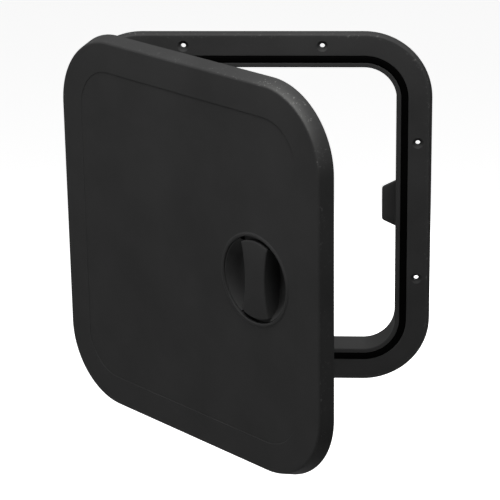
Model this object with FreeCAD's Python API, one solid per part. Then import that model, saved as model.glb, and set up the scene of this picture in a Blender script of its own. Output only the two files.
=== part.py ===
"""Moulded access hatch: a flush frame with a seal, a hinged lid and a quarter-turn finger latch.

Units are millimetres. The origin is the centre of the hatch on the wall plane (the flange's back face).
+X points to the latch side, -Y out of the wall towards the user, +Z up.
The lid is modelled shut first and then swung open about its hinge line by OPEN_ANGLE.
"""
import FreeCAD
import Part
import math
import os

V = FreeCAD.Vector

# Frame: flange, neck and seal groove
FRAME_WIDTH = 360.0
FRAME_HEIGHT = 375.0
FRAME_CORNER = 62.0
FLANGE_THICK = 7.0
FLANGE_EDGE_INSET = 2.7
GROOVE_OFFSET = 24.3
GROOVE_WIDTH = 7.1
GROOVE_DEPTH = 4.0
LIP_WIDTH = 4.6
NECK_WALL = 3.5
NECK_DEPTH = 29.0

# Screw holes in the flange
SCREW_HOLE = 5.0
SCREW_SINK = 10.6
SCREW_EDGE = 14.3
SCREW_HALF_PITCH_X = 69.5
SCREW_HALF_PITCH_Z = 72.7

# Strike tab on the latch-side neck wall
TAB_REACH = 14.0
TAB_BASE = 48.5
TAB_TIP = 34.7
TAB_CORNER = 4.0
TAB_THICK = 5.0
TAB_SETBACK = 26.0

# Seal
SEAL_SIDE_GAP = 0.1
SEAL_PROUD = 0.5

# Lid
LID_OVERLAP = 9.0
LID_STANDOFF = 10.0
LID_RIM_DEPTH = 14.8
LID_EDGE_INSET = 5.4
LID_EDGE_ROUND = 2.2
LID_SKIN = 3.0
PANEL_OFFSET = 35.0
PANEL_CORNER = 36.0
PANEL_SINK = 0.6
SEAL_RIB = 3.0
SEAL_RIB_GAP = 0.4

# Hinge
HINGE_OUT = 5.0
HINGE_BEHIND_FACE = 1.5
PIN_RADIUS = 1.25
PIN_RUNNING_GAP = 0.05
KNUCKLE_RADIUS = 2.75
HINGE_HALF_SPREAD = 100.0
LUG_LENGTH = 20.0
EAR_LENGTH = 10.0
KNUCKLE_GAP = 0.6
OPEN_ANGLE = 44.0

# Latch
LATCH_INSET = 82.7
DISH_RADIUS = 42.5
DISH_BEAD = 4.0
DISH_BEAD_PROUD = 0.8
KNOB_GAP = 0.3
KNOB_RIM_SINK = 0.8
KNOB_RIM_DEPTH = 12.2
KNOB_LIP_RUN = 2.2
KNOB_LIP_DROP = 1.4
KNOB_WALL_RUN = 7.0
KNOB_WALL_DROP = 11.3
KNOB_BOWL_DEPTH = 21.0
KNOB_FLOOR_RADIUS = 10.0
KNOB_FOOT_RUN = 12.0
KNOB_FOOT_RISE = 1.5
KNOB_FLOOR = 2.5
KNOB_BACK_RADIUS = 22.0
LEDGE_THICK = 2.0
LEDGE_REACH = 5.5
COLLAR_WALL = 2.0
BAR_END_GAP = 3.9
BAR_END_WIDTH = 36.0
BAR_WAIST = 27.0
BAR_EDGE_CHAMFER = 1.0
END_GAP_DEPTH = 6.0
END_GAP_HALF_ANGLE = 33.0
RING_THICK = 2.0
RING_WIDTH = 4.8
RING_GROOVE = 1.0
RING_GAP = 0.2
HUB_RADIUS = 10.0
SPIGOT_SIDE = 11.0
PAWL_REACH = 42.0
PAWL_WIDTH = 18.0
PAWL_THICK = 4.0
PAWL_GAP = 0.4
PAWL_HEAD_RADIUS = 12.0
SPIGOT_GAP = 0.1

# How far a cutting tool runs past the face it opens
CUT_MARGIN = 1.0

# Planes and lines worked out from the sizes above
FLANGE_FRONT = -FLANGE_THICK
LID_FRONT = FLANGE_FRONT - LID_STANDOFF
LID_BACK = LID_FRONT + LID_RIM_DEPTH
LID_INSIDE = LID_FRONT + LID_SKIN
GROOVE_INNER_OFFSET = GROOVE_OFFSET + GROOVE_WIDTH
OPENING_OFFSET = GROOVE_INNER_OFFSET + LIP_WIDTH
HINGE_X = -FRAME_WIDTH / 2 - HINGE_OUT
HINGE_Y = FLANGE_FRONT + HINGE_BEHIND_FACE
SEAL_TOP = FLANGE_FRONT - SEAL_PROUD
TAB_FRONT = FLANGE_FRONT + TAB_SETBACK
TAB_BACK = TAB_FRONT + TAB_THICK
LATCH_OFFSET = FRAME_WIDTH / 2 - LATCH_INSET
KNOB_RADIUS = DISH_RADIUS - KNOB_GAP
KNOB_BODY_RADIUS = DISH_RADIUS - LEDGE_REACH - KNOB_GAP
KNOB_STEP_DEPTH = KNOB_RIM_SINK + KNOB_RIM_DEPTH
BAR_END_RADIUS = DISH_RADIUS - BAR_END_GAP
RING_DEPTH = KNOB_STEP_DEPTH + KNOB_GAP + LEDGE_THICK + RING_GAP


def rounded_outline(offset, y, corner=None):
    """Rounded rectangle parallel to the frame's edge, offset inwards (negative is outwards), on the plane y."""
    half_x = FRAME_WIDTH / 2 - offset
    half_z = FRAME_HEIGHT / 2 - offset
    radius = FRAME_CORNER - offset if corner is None else corner
    mid = radius * (1 - math.sqrt(0.5))
    edges = []
    for sx, sz in ((1, 1), (-1, 1), (-1, -1), (1, -1)):
        side_point = V(sx * half_x, y, sz * (half_z - radius))
        top_point = V(sx * (half_x - radius), y, sz * half_z)
        mid_point = V(sx * (half_x - mid), y, sz * (half_z - mid))
        ends = (side_point, top_point) if sx * sz > 0 else (top_point, side_point)
        if edges:
            edges.append(Part.makeLine(edges[-1].lastVertex().Point, ends[0]))
        edges.append(Part.Arc(ends[0], mid_point, ends[1]).toShape())
    edges.append(Part.makeLine(edges[-1].lastVertex().Point, edges[0].firstVertex().Point))
    return Part.Wire(edges)


def slab(offset, y_front, y_back, corner=None):
    """Rounded-rectangle plate between two planes."""
    face = Part.Face(rounded_outline(offset, y_front, corner))
    return face.extrude(V(0, y_back - y_front, 0))


def tapered_slab(offset_front, y_front, offset_back, y_back):
    """Rounded-rectangle plate whose edge slopes from one offset to another: flat sides and conical corners."""
    centre_x = FRAME_WIDTH / 2 - FRAME_CORNER
    centre_z = FRAME_HEIGHT / 2 - FRAME_CORNER
    rings = [(FRAME_CORNER - offset_front, y_front), (FRAME_CORNER - offset_back, y_back)]
    faces = [Part.Face(rounded_outline(offset_front, y_front)), Part.Face(rounded_outline(offset_back, y_back))]
    for sign in (1, -1):
        upright = [V(sign * (centre_x + radius), y, z) for radius, y in rings for z in (-centre_z, centre_z)]
        level = [V(x, y, sign * (centre_z + radius)) for radius, y in rings for x in (-centre_x, centre_x)]
        for a, b, c, d in (upright, level):
            faces.append(Part.Face(Part.makePolygon([a, b, d, c, a])))
        for side in (1, -1):
            start = [V(sign * centre_x + radius, y, side * centre_z) for radius, y in rings]
            quarter = Part.makeLine(*start).revolve(V(sign * centre_x, 0, side * centre_z), V(0, 1, 0), 90)
            turn = {(1, 1): 270, (1, -1): 0, (-1, -1): 90, (-1, 1): 180}[(sign, side)]
            quarter.rotate(V(sign * centre_x, 0, side * centre_z), V(0, 1, 0), turn)
            faces.append(quarter)
    shell = Part.makeShell(faces)
    shell.sewShape()
    solid = Part.makeSolid(shell)
    if solid.Volume < 0:
        solid.reverse()
    return solid


def rod_y(radius, x, z, y_front, y_back):
    """Cylinder along Y."""
    return Part.makeCylinder(radius, y_back - y_front, V(x, y_front, z), V(0, 1, 0))


def rod_z(radius, x, y, z_low, z_high):
    """Cylinder along Z."""
    return Part.makeCylinder(radius, z_high - z_low, V(x, y, z_low), V(0, 0, 1))


def box(x0, y0, z0, x1, y1, z1):
    """Block between two corners."""
    return Part.makeBox(x1 - x0, y1 - y0, z1 - z0, V(x0, y0, z0))


def screw_places():
    """Centres (x, z) of the flange's screw holes: two on each side."""
    side_x = FRAME_WIDTH / 2 - SCREW_EDGE
    side_z = FRAME_HEIGHT / 2 - SCREW_EDGE
    for sign in (-1, 1):
        for along in (-1, 1):
            yield along * SCREW_HALF_PITCH_X, sign * side_z
            yield sign * side_x, along * SCREW_HALF_PITCH_Z


def hinge_heights():
    """Mid heights of the two hinges."""
    return (-HINGE_HALF_SPREAD, HINGE_HALF_SPREAD)


def strike_tab():
    """Trapezoid tab that the pawl turns behind, its free corners rounded."""
    root_x = FRAME_WIDTH / 2 - OPENING_OFFSET + NECK_WALL / 2
    base_x = FRAME_WIDTH / 2 - OPENING_OFFSET
    tip_x = base_x - TAB_REACH
    corners = [(root_x, -TAB_BASE / 2), (base_x, -TAB_BASE / 2), (tip_x, -TAB_TIP / 2)]
    outline = [V(x, TAB_FRONT, z) for x, z in corners]
    outline += [V(x, TAB_FRONT, -z) for x, z in reversed(corners)]
    tab = Part.Face(Part.makePolygon(outline + outline[:1])).extrude(V(0, TAB_THICK, 0))
    tips = [e for e in tab.Edges if abs(e.CenterOfMass.x - tip_x) < 1e-6 and abs(e.CenterOfMass.z) > TAB_TIP / 4]
    return tab.makeFillet(TAB_CORNER, tips)


def hinge_lug(height):
    """Barrel of the frame's hinge, carried by a web from the flange's edge."""
    low = height - LUG_LENGTH / 2
    high = height + LUG_LENGTH / 2
    barrel = rod_z(KNUCKLE_RADIUS, HINGE_X, HINGE_Y, low, high)
    root_x = -FRAME_WIDTH / 2 + FLANGE_EDGE_INSET + CUT_MARGIN
    web = box(HINGE_X, FLANGE_FRONT, low, root_x, HINGE_Y + KNUCKLE_RADIUS, high)
    return barrel.fuse(web)


def make_frame():
    """Flange with sloping edge, neck, seal groove, countersunk holes, strike tab and hinge lugs in one moulding."""
    flange = tapered_slab(FLANGE_EDGE_INSET, FLANGE_FRONT, 0, 0)
    neck = slab(OPENING_OFFSET - NECK_WALL, FLANGE_FRONT, NECK_DEPTH)
    body = flange.fuse(neck)
    body = body.cut(slab(OPENING_OFFSET, FLANGE_FRONT - CUT_MARGIN, NECK_DEPTH + CUT_MARGIN))
    groove = slab(GROOVE_OFFSET, FLANGE_FRONT - CUT_MARGIN, FLANGE_FRONT + GROOVE_DEPTH)
    groove = groove.cut(slab(GROOVE_INNER_OFFSET, FLANGE_FRONT - CUT_MARGIN, FLANGE_FRONT + GROOVE_DEPTH))
    body = body.cut(groove)
    body = body.fuse(strike_tab())
    for height in hinge_heights():
        body = body.fuse(hinge_lug(height))
    bore = PIN_RADIUS + PIN_RUNNING_GAP
    for height in hinge_heights():
        body = body.cut(rod_z(bore, HINGE_X, HINGE_Y, height - LUG_LENGTH, height + LUG_LENGTH))
    sink_depth = (SCREW_SINK - SCREW_HOLE) / 2
    for x, z in screw_places():
        body = body.cut(rod_y(SCREW_HOLE / 2, x, z, FLANGE_FRONT - CUT_MARGIN, CUT_MARGIN))
        cone = Part.makeCone(SCREW_SINK / 2, SCREW_HOLE / 2, sink_depth, V(x, FLANGE_FRONT, z), V(0, 1, 0))
        body = body.cut(cone)
    return body.removeSplitter()


def make_seal():
    """Rubber ring that sits on the groove's floor and stands a little proud of the flange."""
    outer = slab(GROOVE_OFFSET + SEAL_SIDE_GAP, SEAL_TOP, FLANGE_FRONT + GROOVE_DEPTH)
    back = FLANGE_FRONT + GROOVE_DEPTH + CUT_MARGIN
    inner = slab(GROOVE_INNER_OFFSET - SEAL_SIDE_GAP, SEAL_TOP - CUT_MARGIN, back)
    return outer.cut(inner)


def rim_offset(y, inward=0):
    """Offset of the lid's sloping rim from the frame's edge on the plane y, or of a line further in."""
    return LID_EDGE_INSET * (LID_BACK - y) / LID_RIM_DEPTH - LID_OVERLAP + inward


def lid_skin():
    """Front skin of the lid: sloping edge, rounded front corner and slightly sunk panel."""
    skin = tapered_slab(rim_offset(LID_FRONT), LID_FRONT, rim_offset(LID_INSIDE), LID_INSIDE)
    front_edges = [e for e in skin.Edges if abs(e.BoundBox.YMax - LID_FRONT) < 1e-6]
    skin = skin.makeFillet(LID_EDGE_ROUND, front_edges)
    sunk = slab(PANEL_OFFSET - LID_OVERLAP, LID_FRONT - CUT_MARGIN, LID_FRONT + PANEL_SINK, PANEL_CORNER)
    return skin.cut(sunk)


def make_seal_rib():
    """Rib behind the lid's skin that presses on the seal."""
    outer = GROOVE_OFFSET + (GROOVE_WIDTH - SEAL_RIB) / 2
    back = SEAL_TOP - SEAL_RIB_GAP
    hollow = slab(outer + SEAL_RIB, LID_INSIDE - CUT_MARGIN, back + CUT_MARGIN)
    return slab(outer, LID_INSIDE, back).cut(hollow)


def latch_seat(skin):
    """Open the skin for the knob: a bead round the hole in front, a collar and a ledge behind."""
    ledge_front = LID_FRONT + KNOB_STEP_DEPTH + KNOB_GAP
    ledge_back = ledge_front + LEDGE_THICK
    panel_face = LID_FRONT + PANEL_SINK
    bead = Part.makeCone(
        DISH_RADIUS + DISH_BEAD,
        DISH_RADIUS + DISH_BEAD / 2,
        DISH_BEAD_PROUD + LID_SKIN / 2,
        V(LATCH_OFFSET, panel_face + LID_SKIN / 2, 0),
        V(0, -1, 0),
    )
    collar = rod_y(DISH_RADIUS + COLLAR_WALL, LATCH_OFFSET, 0, panel_face + LID_SKIN / 2, ledge_back)
    seat = skin.fuse(bead).fuse(collar)
    seat = seat.cut(rod_y(DISH_RADIUS, LATCH_OFFSET, 0, LID_FRONT - DISH_BEAD_PROUD - CUT_MARGIN, ledge_front))
    through = rod_y(DISH_RADIUS - LEDGE_REACH, LATCH_OFFSET, 0, ledge_front - CUT_MARGIN, ledge_back + CUT_MARGIN)
    return seat.cut(through)


def make_lid():
    """Front of the shut lid with the latch's seat."""
    return latch_seat(lid_skin()).removeSplitter()


def make_lid_rim():
    """Sloping rim of the shut lid, notched for each frame lug, with the lid's hinge ears beside the notches."""
    envelope = tapered_slab(rim_offset(LID_INSIDE), LID_INSIDE, rim_offset(LID_BACK), LID_BACK)
    front = LID_INSIDE - CUT_MARGIN
    back = LID_BACK + CUT_MARGIN
    rim = envelope.cut(tapered_slab(rim_offset(front, LID_SKIN), front, rim_offset(back, LID_SKIN), back))
    clear = KNUCKLE_RADIUS + KNUCKLE_GAP
    for height in hinge_heights():
        low = height - LUG_LENGTH / 2 - KNUCKLE_GAP
        high = height + LUG_LENGTH / 2 + KNUCKLE_GAP
        for start in (low - EAR_LENGTH, high):
            ear = rod_z(KNUCKLE_RADIUS, HINGE_X, HINGE_Y, start, start + EAR_LENGTH)
            foot_x = HINGE_X + KNUCKLE_RADIUS
            foot = box(HINGE_X - KNUCKLE_RADIUS, LID_INSIDE, start, foot_x, HINGE_Y, start + EAR_LENGTH)
            rim = rim.fuse(ear).fuse(foot.common(envelope))
        notch = rod_z(clear, HINGE_X, HINGE_Y, low, high)
        mouth = box(HINGE_X - 2 * clear, HINGE_Y, low, HINGE_X + clear, LID_BACK + CUT_MARGIN, high)
        rim = rim.cut(notch).cut(mouth)
        rim = rim.cut(rod_z(PIN_RADIUS, HINGE_X, HINGE_Y, low - 2 * EAR_LENGTH, high + 2 * EAR_LENGTH))
    return rim.removeSplitter()


def make_hinge_pin(height):
    """Steel pin through both lid ears and the frame's lug."""
    half = LUG_LENGTH / 2 + KNUCKLE_GAP + EAR_LENGTH
    return rod_z(PIN_RADIUS, HINGE_X, HINGE_Y, height - half, height + half)


def turned(profile_edges):
    """Solid of revolution about the latch axis; the profile is drawn on the plane z = 0."""
    face = Part.Face(Part.Wire(profile_edges))
    return face.revolve(V(LATCH_OFFSET, 0, 0), V(0, 1, 0), 360)


def latch_point(radius, depth):
    """Point of the latch's section: radius from its axis and depth behind the lid's front face."""
    return V(LATCH_OFFSET + radius, LID_FRONT + depth, 0)


def polyline(points):
    """Straight edges through the given (radius, depth) pairs."""
    places = [latch_point(*p) for p in points]
    return [Part.makeLine(a, b) for a, b in zip(places, places[1:])]


def bowl_line():
    """Section of the finger bowl from rim to middle: eased lip, steep wall, foot and flat floor."""
    lip_radius = KNOB_RADIUS - KNOB_LIP_RUN
    lip_depth = KNOB_RIM_SINK + KNOB_LIP_DROP
    return [
        (KNOB_RADIUS, KNOB_RIM_SINK),
        (lip_radius, lip_depth),
        (lip_radius - KNOB_WALL_RUN, lip_depth + KNOB_WALL_DROP),
        (KNOB_FLOOR_RADIUS + KNOB_FOOT_RUN, KNOB_BOWL_DEPTH - KNOB_FOOT_RISE),
        (KNOB_FLOOR_RADIUS, KNOB_BOWL_DEPTH),
        (0, KNOB_BOWL_DEPTH),
    ]


def end_gaps():
    """Arc-shaped gaps past the bar's two ends, where the knob's rim is cut away in front of the seat."""
    front = LID_FRONT - CUT_MARGIN
    back = LID_FRONT + END_GAP_DEPTH
    ring = rod_y(KNOB_RADIUS + CUT_MARGIN, LATCH_OFFSET, 0, front, back)
    ring = ring.cut(rod_y(BAR_END_RADIUS, LATCH_OFFSET, 0, front, back))
    reach = 2 * KNOB_RADIUS
    half = reach * math.tan(math.radians(END_GAP_HALF_ANGLE))
    axis = V(LATCH_OFFSET, front, 0)
    wedges = []
    for end in (-reach, reach):
        outline = [axis, V(LATCH_OFFSET - half, front, end), V(LATCH_OFFSET + half, front, end), axis]
        wedges.append(Part.Face(Part.makePolygon(outline)).extrude(V(0, back - front, 0)))
    return [ring.common(wedge) for wedge in wedges]


def finger_bar():
    """Hourglass outline of the finger bar: arc ends, waisted sides."""
    half_end = BAR_END_WIDTH / 2
    half_waist = BAR_WAIST / 2
    end_z = math.sqrt(BAR_END_RADIUS ** 2 - half_end ** 2)

    def place(x, z):
        return V(LATCH_OFFSET + x, LID_FRONT, z)

    edges = [
        Part.Arc(place(half_end, -end_z), place(half_waist, 0), place(half_end, end_z)).toShape(),
        Part.Arc(place(half_end, end_z), place(0, BAR_END_RADIUS), place(-half_end, end_z)).toShape(),
        Part.Arc(place(-half_end, end_z), place(-half_waist, 0), place(-half_end, -end_z)).toShape(),
        Part.Arc(place(-half_end, -end_z), place(0, -BAR_END_RADIUS), place(half_end, -end_z)).toShape(),
    ]
    bar = Part.Face(Part.Wire(edges)).extrude(V(0, KNOB_BOWL_DEPTH + KNOB_FLOOR / 2, 0))
    top_edges = [e for e in bar.Edges if abs(e.BoundBox.YMax - LID_FRONT) < 1e-6]
    return bar.makeChamfer(BAR_EDGE_CHAMFER, top_edges)


def make_knob():
    """Turning dish with its finger bar, hub and square spigot."""
    floor_depth = KNOB_BOWL_DEPTH + KNOB_FLOOR
    ring_back = RING_DEPTH + RING_THICK
    groove_radius = KNOB_BODY_RADIUS - RING_GROOVE
    hub_depth = TAB_BACK + PAWL_GAP - LID_FRONT
    outside = [
        (0, KNOB_BOWL_DEPTH),
        (0, hub_depth),
        (HUB_RADIUS, hub_depth),
        (HUB_RADIUS, floor_depth),
        (KNOB_BACK_RADIUS, floor_depth),
        (KNOB_BODY_RADIUS, ring_back + RING_THICK),
        (KNOB_BODY_RADIUS, ring_back),
        (groove_radius, ring_back),
        (groove_radius, RING_DEPTH),
        (KNOB_BODY_RADIUS, RING_DEPTH),
        (KNOB_BODY_RADIUS, KNOB_STEP_DEPTH),
        (KNOB_RADIUS, KNOB_STEP_DEPTH),
    ]
    cup = turned(polyline(outside + bowl_line()))
    for gap in end_gaps():
        cup = cup.cut(gap)
    front = [(KNOB_RADIUS, KNOB_RIM_SINK), (KNOB_RADIUS, 0), (0, 0), (0, KNOB_BOWL_DEPTH)]
    filled = turned(polyline(outside + front))
    knob = cup.fuse(finger_bar().common(filled))
    half = SPIGOT_SIDE / 2
    hub_back = LID_FRONT + hub_depth
    spigot = box(LATCH_OFFSET - half, hub_back - CUT_MARGIN, -half, LATCH_OFFSET + half, hub_back + PAWL_THICK, half)
    return knob.fuse(spigot).removeSplitter()


def make_latch_ring():
    """Retaining ring in the knob's groove, behind the lid's ledge."""
    inner = KNOB_BODY_RADIUS - RING_GROOVE
    outer = inner + RING_WIDTH
    front = LID_FRONT + RING_DEPTH
    back = front + RING_THICK
    ring = rod_y(outer, LATCH_OFFSET, 0, front, back)
    return ring.cut(rod_y(inner, LATCH_OFFSET, 0, front - CUT_MARGIN, back + CUT_MARGIN))


def make_pawl():
    """Flat pawl on the spigot: round head and a straight arm with a round tip, pointing down when free."""
    front = TAB_BACK + PAWL_GAP
    back = front + PAWL_THICK
    half = PAWL_WIDTH / 2
    head = rod_y(PAWL_HEAD_RADIUS, LATCH_OFFSET, 0, front, back)
    arm = box(LATCH_OFFSET - half, front, -PAWL_REACH + half, LATCH_OFFSET + half, back, 0)
    tip = rod_y(half, LATCH_OFFSET, -PAWL_REACH + half, front, back)
    side = SPIGOT_SIDE / 2 + SPIGOT_GAP
    hole = box(LATCH_OFFSET - side, front - CUT_MARGIN, -side, LATCH_OFFSET + side, back + CUT_MARGIN, side)
    return head.fuse([arm, tip]).cut(hole).removeSplitter()


def swung_open(shape):
    """Turn a lid piece from shut to the stored pose about the hinge line."""
    moved = shape.copy()
    moved.rotate(V(HINGE_X, HINGE_Y, 0), V(0, 0, 1), -OPEN_ANGLE)
    return moved


def main():
    """Build every piece and write one file for each."""
    fixed = {"frame": make_frame(), "seal": make_seal()}
    swinging = {
        "lid": make_lid(),
        "lid_rim": make_lid_rim(),
        "seal_rib": make_seal_rib(),
        "hinge_pin_lower": make_hinge_pin(-HINGE_HALF_SPREAD),
        "hinge_pin_upper": make_hinge_pin(HINGE_HALF_SPREAD),
        "knob": make_knob(),
        "latch_ring": make_latch_ring(),
        "pawl": make_pawl(),
    }
    pieces = dict(fixed)
    pieces.update({name: swung_open(shape) for name, shape in swinging.items()})
    os.makedirs("parts", exist_ok=True)
    for name, shape in pieces.items():
        solids = len(shape.Solids)
        print(name, "valid", shape.isValid(), "solids", solids, "volume_cm3", round(shape.Volume / 1000, 2))
        shape.exportStep(f"parts/{name}.step")


main()
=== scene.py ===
"""Looks of a moulded black access hatch: frame, seal, swung-open lid, hinges and quarter-turn finger latch.

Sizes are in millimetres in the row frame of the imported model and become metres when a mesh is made.
Lid and latch pieces are worked out shut and then swung to the stored pose about the hinge line.
"""
import logging
import math
from dataclasses import dataclass, field
from enum import Enum

import bmesh
import bpy
import numpy as np
from mathutils import Matrix, Vector


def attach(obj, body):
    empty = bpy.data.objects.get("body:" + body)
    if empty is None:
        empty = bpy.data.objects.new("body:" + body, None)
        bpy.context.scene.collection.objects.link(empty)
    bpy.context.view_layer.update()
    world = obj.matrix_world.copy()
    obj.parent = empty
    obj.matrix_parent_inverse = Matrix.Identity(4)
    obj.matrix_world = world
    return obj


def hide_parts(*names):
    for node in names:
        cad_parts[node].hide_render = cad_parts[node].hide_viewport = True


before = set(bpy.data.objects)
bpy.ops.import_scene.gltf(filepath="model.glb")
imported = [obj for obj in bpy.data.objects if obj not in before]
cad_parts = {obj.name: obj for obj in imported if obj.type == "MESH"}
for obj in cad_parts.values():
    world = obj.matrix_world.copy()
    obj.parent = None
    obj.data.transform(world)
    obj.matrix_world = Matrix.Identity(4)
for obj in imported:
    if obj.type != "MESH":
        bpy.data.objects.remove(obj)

log = logging.getLogger("hatch")
MM = 0.001
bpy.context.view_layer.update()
Section = list[tuple[float, float, float]]


class Body(Enum):
    """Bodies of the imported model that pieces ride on."""

    FRAME = "frame"
    LID = "lid"
    LATCH = "latch"


class Slot(Enum):
    """Material slots of the record."""

    FRAME = "frame_plastic"
    LID = "lid_plastic"
    LATCH = "latch_plastic"
    PAWL = "pawl_plastic"
    SEAL = "seal_rubber"
    PIN = "pin_steel"
    RING = "ring_steel"


@dataclass(frozen=True)
class HatchSizes:
    """Driving sizes that several sub-assemblies share, in millimetres."""

    width: float = 360.0
    height: float = 375.0
    corner: float = 69.0
    flange: float = 7.0
    lid_overlap: float = 9.0
    lid_front: float = -17.0
    hinge_x: float = -185.0
    hinge_y: float = -5.5
    open_angle: float = 44.0
    latch_x: float = 97.3
    dish_radius: float = 42.5


SIZES = HatchSizes()


def swing(points: np.ndarray) -> np.ndarray:
    """Turn shut-lid points about the hinge line to the stored pose.

    Args:
        points: Array of points whose last axis is x, y, z.

    Returns:
        The turned points, in the same layout.
    """
    angle = math.radians(SIZES.open_angle)
    east = points[..., 0] - SIZES.hinge_x
    north = points[..., 1] - SIZES.hinge_y
    turned = np.empty_like(points)
    turned[..., 0] = SIZES.hinge_x + east * math.cos(angle) + north * math.sin(angle)
    turned[..., 1] = SIZES.hinge_y - east * math.sin(angle) + north * math.cos(angle)
    turned[..., 2] = points[..., 2]
    return turned


def rounded_section(corners: Section, steps: int = 6, closed: bool = True) -> np.ndarray:
    """Section outline whose corners are arcs, with a support point each side of every arc.

    A corner's arc starts and ends at radius x tan(turn / 2) from the corner, and its points are the
    centre plus the radius turned evenly from the first tangent to the second.

    Args:
        corners: (a, b, radius) for each corner, in order.
        steps: Spans in each arc.
        closed: Whether the last corner joins the first.

    Returns:
        Array of (a, b) points.
    """
    table = np.array(corners, dtype=float)
    spots, radii = table[:, :2], table[:, 2]
    count = len(spots)
    chain: list[np.ndarray] = []
    for i in range(count):
        if radii[i] <= 0 or (not closed and i in (0, count - 1)):
            chain.append(spots[i][None])
            continue
        back = spots[i - 1] - spots[i]
        ahead = spots[(i + 1) % count] - spots[i]
        back_length, ahead_length = np.linalg.norm(back), np.linalg.norm(ahead)
        back, ahead = back / back_length, ahead / ahead_length
        half = math.acos(float(np.clip(back @ ahead, -1, 1))) / 2
        reach = min(radii[i] / math.tan(half), 0.45 * back_length, 0.45 * ahead_length)
        radius = reach * math.tan(half)
        bisector = (back + ahead) / np.linalg.norm(back + ahead)
        centre = spots[i] + bisector * radius / math.sin(half)
        first, last = spots[i] + back * reach, spots[i] + ahead * reach
        share = np.linspace(0, 1, steps + 1)[:, None]
        sweep = math.pi - 2 * half
        weight_a, weight_b = np.sin((1 - share) * sweep), np.sin(share * sweep)
        arc = centre + ((first - centre) * weight_a + (last - centre) * weight_b) / math.sin(sweep)
        hold = 0.06 * reach
        chain += [(first + back * hold)[None], arc, (last + ahead * hold)[None]]
    return np.concatenate(chain)


def grid_faces(rows: int, columns: int, wrap_rows: bool, wrap_columns: bool) -> np.ndarray:
    """Quads of a grid of points numbered row by row.

    Args:
        rows: Number of rows.
        columns: Number of columns.
        wrap_rows: Whether the last row joins the first.
        wrap_columns: Whether the last column joins the first.

    Returns:
        Array of four point numbers for each quad.
    """
    i = np.arange(rows if wrap_rows else rows - 1)[:, None]
    j = np.arange(columns if wrap_columns else columns - 1)[None]
    i_next, j_next = (i + 1) % rows, (j + 1) % columns
    here, below = i * columns, i_next * columns
    quads = np.stack([here + j, below + j, below + j_next, here + j_next], -1)
    return quads.reshape(-1, 4)


@dataclass
class Surface:
    """Points and quads gathered from several grids, made into one mesh."""

    points: list[np.ndarray] = field(default_factory=list)
    quads: list[np.ndarray] = field(default_factory=list)
    wear_and_highlight: list[np.ndarray] = field(default_factory=list)
    total: int = 0

    def add(self, grid: np.ndarray, wrap_rows: bool, wrap_columns: bool,
            wear_and_highlight: np.ndarray | float = 0.0) -> None:
        """Add a grid of points.

        Args:
            grid: Array of rows x columns x 3 points.
            wrap_rows: Whether the last row joins the first.
            wrap_columns: Whether the last column joins the first.
            wear_and_highlight: How exposed to rubbing each point is, from 0 to 1. On the lid it also peaks
                where a highlight is painted.
        """
        rows, columns = grid.shape[:2]
        self.quads.append(grid_faces(rows, columns, wrap_rows, wrap_columns) + self.total)
        self.points.append(grid.reshape(-1, 3))
        self.wear_and_highlight.append(np.broadcast_to(wear_and_highlight, (rows, columns)).reshape(-1))
        self.total += rows * columns

    def build(self, name: str, swung: bool, sharp_angle: float = 38.0) -> bpy.types.Object:
        """Make the mesh object, merged and facing outwards.

        Args:
            name: The piece's name.
            swung: Whether the points are those of the shut lid.
            sharp_angle: Edges that turn by more than this stay sharp, in degrees.

        Returns:
            The object, linked to the scene.
        """
        points = np.concatenate(self.points)
        points = swing(points) if swung else points
        mesh = bpy.data.meshes.new(name)
        mesh.from_pydata((points * MM).tolist(), [], np.concatenate(self.quads).tolist())
        attribute = mesh.attributes.new("wear_and_highlight", "FLOAT", "POINT")
        attribute.data.foreach_set("value", np.concatenate(self.wear_and_highlight).astype(np.float32))
        tidy_mesh(mesh, sharp_angle)
        piece = bpy.data.objects.new(name, mesh)
        bpy.context.scene.collection.objects.link(piece)
        return piece


def tidy_mesh(mesh: bpy.types.Mesh, sharp_angle: float) -> None:
    """Merge doubles, drop slivers, face outwards and shade smooth with sharp edges.

    Args:
        mesh: The mesh to tidy.
        sharp_angle: Edges that turn by more than this stay sharp, in degrees.
    """
    work = bmesh.new()
    work.from_mesh(mesh)
    bmesh.ops.remove_doubles(work, verts=work.verts, dist=2e-6)
    bmesh.ops.dissolve_degenerate(work, edges=work.edges, dist=1e-6)
    bmesh.ops.recalc_face_normals(work, faces=work.faces)
    work.to_mesh(mesh)
    work.free()
    mesh.shade_smooth()
    mesh.set_sharp_from_angle(angle=math.radians(sharp_angle))


def cut_away(piece: bpy.types.Object, cutter: bpy.types.Object, sharp_angle: float = 38.0) -> None:
    """Take one solid out of another and remove the cutter.

    Args:
        piece: The object that is cut.
        cutter: The object that is taken out of it.
        sharp_angle: Edges that turn by more than this stay sharp, in degrees.
    """
    change = piece.modifiers.new("cut", "BOOLEAN")
    change.operation = "DIFFERENCE"
    change.solver = "MANIFOLD"
    change.object = cutter
    bpy.context.view_layer.update()
    result = bpy.data.meshes.new_from_object(piece.evaluated_get(bpy.context.evaluated_depsgraph_get()))
    piece.modifiers.clear()
    old, name = piece.data, piece.data.name
    piece.data = result
    bpy.data.meshes.remove(old)
    result.name = name
    bpy.data.objects.remove(cutter)
    result.shade_smooth()
    result.set_sharp_from_angle(angle=math.radians(sharp_angle))


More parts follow.
